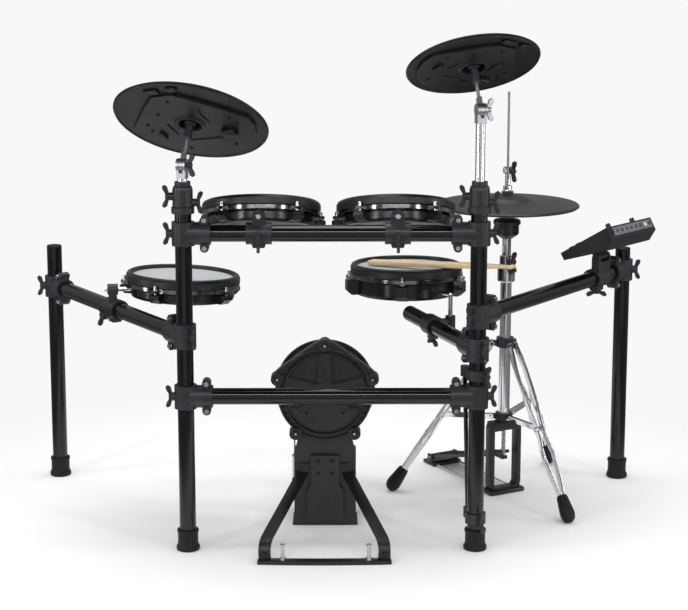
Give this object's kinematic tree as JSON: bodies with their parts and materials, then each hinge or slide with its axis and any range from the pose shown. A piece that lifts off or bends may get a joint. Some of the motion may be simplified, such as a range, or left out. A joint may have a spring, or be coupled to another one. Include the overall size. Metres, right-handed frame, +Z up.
{
  "type": "electronic drum kit",
  "caption": "Electronic drum kit on a black tube rack with mesh-head drum pads, rubber cymbal pads, hi-hat stand, kick tower with pedal, sound module and drumsticks.",
  "frame": {"origin": "on the floor under the middle of the kit's bounding box", "axes": "+X to the right as the audience sees the kit, +Y away from the audience towards the drummer, +Z up"},
  "size_m": [1.5734, 0.8298, 1.1966],
  "materials": {
    "black_powder_coat": "satin black powder coat",
    "black_nylon": "moulded black nylon, satin",
    "black_rubber": "matt black rubber",
    "black_bolts": "black oxide",
    "chrome": "polished chrome plate",
    "drum_shell_black": "moulded black plastic",
    "rim_rubber": "satin black rubber",
    "mesh_head": "woven polyester mesh",
    "hoop_chrome": "polished chrome plate",
    "module_plastic": "textured black plastic",
    "button_plastic": "grey rubberised plastic",
    "stick_wood": "lacquered hickory"
  },
  "bodies": {
    "rack": {"front_posts": "black_powder_coat", "crossbars": "black_powder_coat", "front_feet": "black_rubber", "rack_clamps": "black_nylon", "rack_bolts": "black_bolts", "brace_rod": "black_powder_coat", "kick_tower": "black_nylon", "kick_head": "mesh_head", "kick_stand": "black_powder_coat", "pedal_frame": "black_powder_coat", "pedal_spring": "chrome", "hihat_tubes": "chrome", "hihat_base_frame": "black_powder_coat", "hihat_controller": "black_nylon"},
    "left_wing": {"left_wing_tubes": "black_powder_coat", "left_wing_clamps": "black_nylon", "left_rear_foot": "black_rubber"},
    "right_wing": {"right_wing_tubes": "black_powder_coat", "right_wing_clamps": "black_nylon", "right_rear_foot": "black_rubber"},
    "snare_arm": {"snare_arm_tube": "black_powder_coat", "snare_arm_clamps": "black_nylon"},
    "hihat_rod": {"hihat_pull_rod": "chrome", "hihat_pad": "black_rubber"},
    "module": {"module_case": "module_plastic"},
    "left_tom": {"left_tom_shell": "drum_shell_black", "left_tom_rim": "rim_rubber", "left_tom_head": "mesh_head", "left_tom_hardware": "hoop_chrome"},
    "right_tom": {"right_tom_shell": "drum_shell_black", "right_tom_rim": "rim_rubber", "right_tom_head": "mesh_head", "right_tom_hardware": "hoop_chrome"},
    "floor_tom": {"floor_tom_shell": "drum_shell_black", "floor_tom_rim": "rim_rubber", "floor_tom_head": "mesh_head", "floor_tom_hardware": "hoop_chrome"},
    "snare": {"snare_shell": "drum_shell_black", "snare_rim": "rim_rubber", "snare_head": "mesh_head", "snare_hardware": "hoop_chrome"},
    "ride_pole": {"ride_pole": "chrome"},
    "ride_tilter": {"ride_tilter": "chrome"},
    "ride_pad": {"ride_pad": "black_rubber"},
    "crash_pole": {"crash_pole": "chrome"},
    "crash_tilter": {"crash_tilter": "chrome"},
    "crash_pad": {"crash_pad": "black_rubber"},
    "hihat_footboard": {"hihat_footboard": "chrome"},
    "hihat_collar": {"hihat_collar": "chrome"},
    "hihat_leg_1": {"hihat_leg_1": "chrome"},
    "hihat_leg_2": {"hihat_leg_2": "chrome"},
    "hihat_leg_3": {"hihat_leg_3": "chrome"},
    "hihat_brace_1": {"hihat_brace_1": "chrome"},
    "hihat_brace_2": {"hihat_brace_2": "chrome"},
    "hihat_brace_3": {"hihat_brace_3": "chrome"},
    "pedal_footboard": {"pedal_footboard": "black_powder_coat"},
    "pedal_beater": {"pedal_beater": "chrome"},
    "module_dial": {"module_dial": "module_plastic"},
    "module_buttons": {"module_buttons": "button_plastic"},
    "drumsticks": {"drumsticks": "stick_wood"}
  },
  "joints": [
    {"name": "left_wing_swing", "type": "hinge", "parent": "rack", "child": "left_wing", "pos_m": [-0.35838, -0.30786, 0.508], "axis": [0, 0, 1], "range_deg": [-10, 15]},
    {"name": "right_wing_swing", "type": "hinge", "parent": "rack", "child": "right_wing", "pos_m": [0.30762, -0.30786, 0.554], "axis": [0, 0, 1], "range_deg": [-15, 8]},
    {"name": "snare_arm_swing", "type": "hinge", "parent": "rack", "child": "snare_arm", "pos_m": [0.30762, -0.30786, 0.476], "axis": [0, 0, 1], "range_deg": [-3, 8]},
    {"name": "left_tom_roll", "type": "hinge", "parent": "rack", "child": "left_tom", "pos_m": [-0.18838, -0.30786, 0.786], "axis": [0, 1, 0], "range_deg": [-10, 10]},
    {"name": "right_tom_roll", "type": "hinge", "parent": "rack", "child": "right_tom", "pos_m": [0.12462, -0.30786, 0.786], "axis": [0, 1, 0], "range_deg": [-10, 10]},
    {"name": "floor_tom_roll", "type": "hinge", "parent": "left_wing", "child": "floor_tom", "pos_m": [-0.55287, -0.01567, 0.556], "axis": [0.9915, 0.1299, 0], "range_deg": [-8, 8]},
    {"name": "snare_turn", "type": "hinge", "parent": "snare_arm", "child": "snare", "pos_m": [0.26158, -0.04686, 0.548], "axis": [0, 0, 1], "range_deg": [-6, 8]},
    {"name": "drumsticks_lift", "type": "slide", "parent": "snare", "child": "drumsticks", "axis": [0, 0, 1], "range_m": [0, 0.08]},
    {"name": "ride_height", "type": "slide", "parent": "rack", "child": "ride_pole", "axis": [0, 0, 1], "range_m": [-0.004, 0.1]},
    {"name": "ride_tilt", "type": "hinge", "parent": "ride_pole", "child": "ride_tilter", "pos_m": [-0.35838, -0.30786, 0.899], "axis": [0.9659, -0.2588, 0], "range_deg": [-12, 12]},
    {"name": "ride_rock", "type": "hinge", "parent": "ride_tilter", "child": "ride_pad", "pos_m": [-0.34086, -0.2425, 0.99931], "axis": [0.9659, -0.2588, 0], "range_deg": [-7, 7], "stiffness_Nm_per_rad": 6},
    {"name": "crash_height", "type": "slide", "parent": "rack", "child": "crash_pole", "axis": [0, 0, 1], "range_m": [-0.06, 0.06]},
    {"name": "crash_tilt", "type": "hinge", "parent": "crash_pole", "child": "crash_tilter", "pos_m": [0.30762, -0.30786, 1.022], "axis": [0.9659, 0.2588, 0], "range_deg": [-12, 12]},
    {"name": "crash_rock", "type": "hinge", "parent": "crash_tilter", "child": "crash_pad", "pos_m": [0.2922, -0.2503, 1.12731], "axis": [0.9659, 0.2588, 0], "range_deg": [-7, 7], "stiffness_Nm_per_rad": 6},
    {"name": "hihat_pedal", "type": "hinge", "parent": "rack", "child": "hihat_footboard", "pos_m": [0.27245, 0.36641, 0.022], "axis": [0.8746, 0.4848, 0], "range_deg": [0, 4.5], "stiffness_Nm_per_rad": 26, "springref_deg": -22.92},
    {"name": "hihat_rod_slide", "type": "slide", "parent": "rack", "child": "hihat_rod", "axis": [0, 0, -1], "range_m": [0, 0.02288]},
    {"name": "hihat_collar_slide", "type": "slide", "parent": "rack", "child": "hihat_collar", "axis": [0, 0, 1], "range_m": [0, 0.09]},
    {"name": "hihat_leg_1_fold", "type": "hinge", "parent": "hihat_collar", "child": "hihat_leg_1", "pos_m": [0.42711, 0.08741, 0.39], "axis": [0.8746, 0.4848, 0], "range_deg": [0, 8.81]},
    {"name": "hihat_brace_1_fold", "type": "hinge", "parent": "rack", "child": "hihat_brace_1", "pos_m": [0.42711, 0.08741, 0.2], "axis": [0.8746, 0.4848, 0], "range_deg": [-38.1, 0]},
    {"name": "hihat_leg_2_fold", "type": "hinge", "parent": "hihat_collar", "child": "hihat_leg_2", "pos_m": [0.42813, 0.14629, 0.39], "axis": [-0.8572, 0.515, 0], "range_deg": [0, 8.81]},
    {"name": "hihat_brace_2_fold", "type": "hinge", "parent": "rack", "child": "hihat_brace_2", "pos_m": [0.42813, 0.14629, 0.2], "axis": [-0.8572, 0.515, 0], "range_deg": [-38.1, 0]},
    {"name": "hihat_leg_3_fold", "type": "hinge", "parent": "hihat_collar", "child": "hihat_leg_3", "pos_m": [0.37663, 0.11774, 0.39], "axis": [-0.0175, -0.9998, 0], "range_deg": [0, 8.81]},
    {"name": "hihat_brace_3_fold", "type": "hinge", "parent": "rack", "child": "hihat_brace_3", "pos_m": [0.37663, 0.11774, 0.2], "axis": [-0.0175, -0.9998, 0], "range_deg": [-38.1, 0]},
    {"name": "kick_pedal", "type": "hinge", "parent": "rack", "child": "pedal_footboard", "pos_m": [-0.04138, 0.21414, 0.02], "axis": [1, 0, 0], "range_deg": [0, 10], "stiffness_Nm_per_rad": 7, "springref_deg": -20.05, "deforming": ["pedal_spring"]},
    {"name": "beater_swing", "type": "hinge", "parent": "rack", "child": "pedal_beater", "pos_m": [-0.04138, -0.03586, 0.19], "axis": [1, 0, 0], "range_deg": [0, 50]},
    {"name": "module_tilt", "type": "hinge", "parent": "right_wing", "child": "module", "pos_m": [0.6493, 0.12925, 0.60893], "axis": [0.6494, 0.7604, 0], "range_deg": [-8, 8]},
    {"name": "module_dial_turn", "type": "hinge", "parent": "module", "child": "module_dial", "pos_m": [0.7005, 0.16706, 0.66656], "axis": [-0.3916, 0.3345, 0.8572], "continuous": true},
    {"name": "module_button_press", "type": "slide", "parent": "module", "child": "module_buttons", "axis": [0.3916, -0.3345, -0.8572], "range_m": [0, 0.0012], "stiffness_N_per_m": 400, "springref_m": -0.001}
  ],
  "couplings": [
    {"joint": "hihat_rod_slide", "follows": "hihat_pedal", "m_per_rad": 0.28495},
    {"joint": "hihat_leg_1_fold", "follows": "hihat_collar_slide", "rad_per_m": 1.6119},
    {"joint": "hihat_brace_1_fold", "follows": "hihat_collar_slide", "rad_per_m": -7.2921},
    {"joint": "hihat_leg_2_fold", "follows": "hihat_collar_slide", "rad_per_m": 1.6119},
    {"joint": "hihat_brace_2_fold", "follows": "hihat_collar_slide", "rad_per_m": -7.2921},
    {"joint": "hihat_leg_3_fold", "follows": "hihat_collar_slide", "rad_per_m": 1.6119},
    {"joint": "hihat_brace_3_fold", "follows": "hihat_collar_slide", "rad_per_m": -7.2921},
    {"joint": "beater_swing", "follows": "kick_pedal", "ratio": 5}
  ]
}
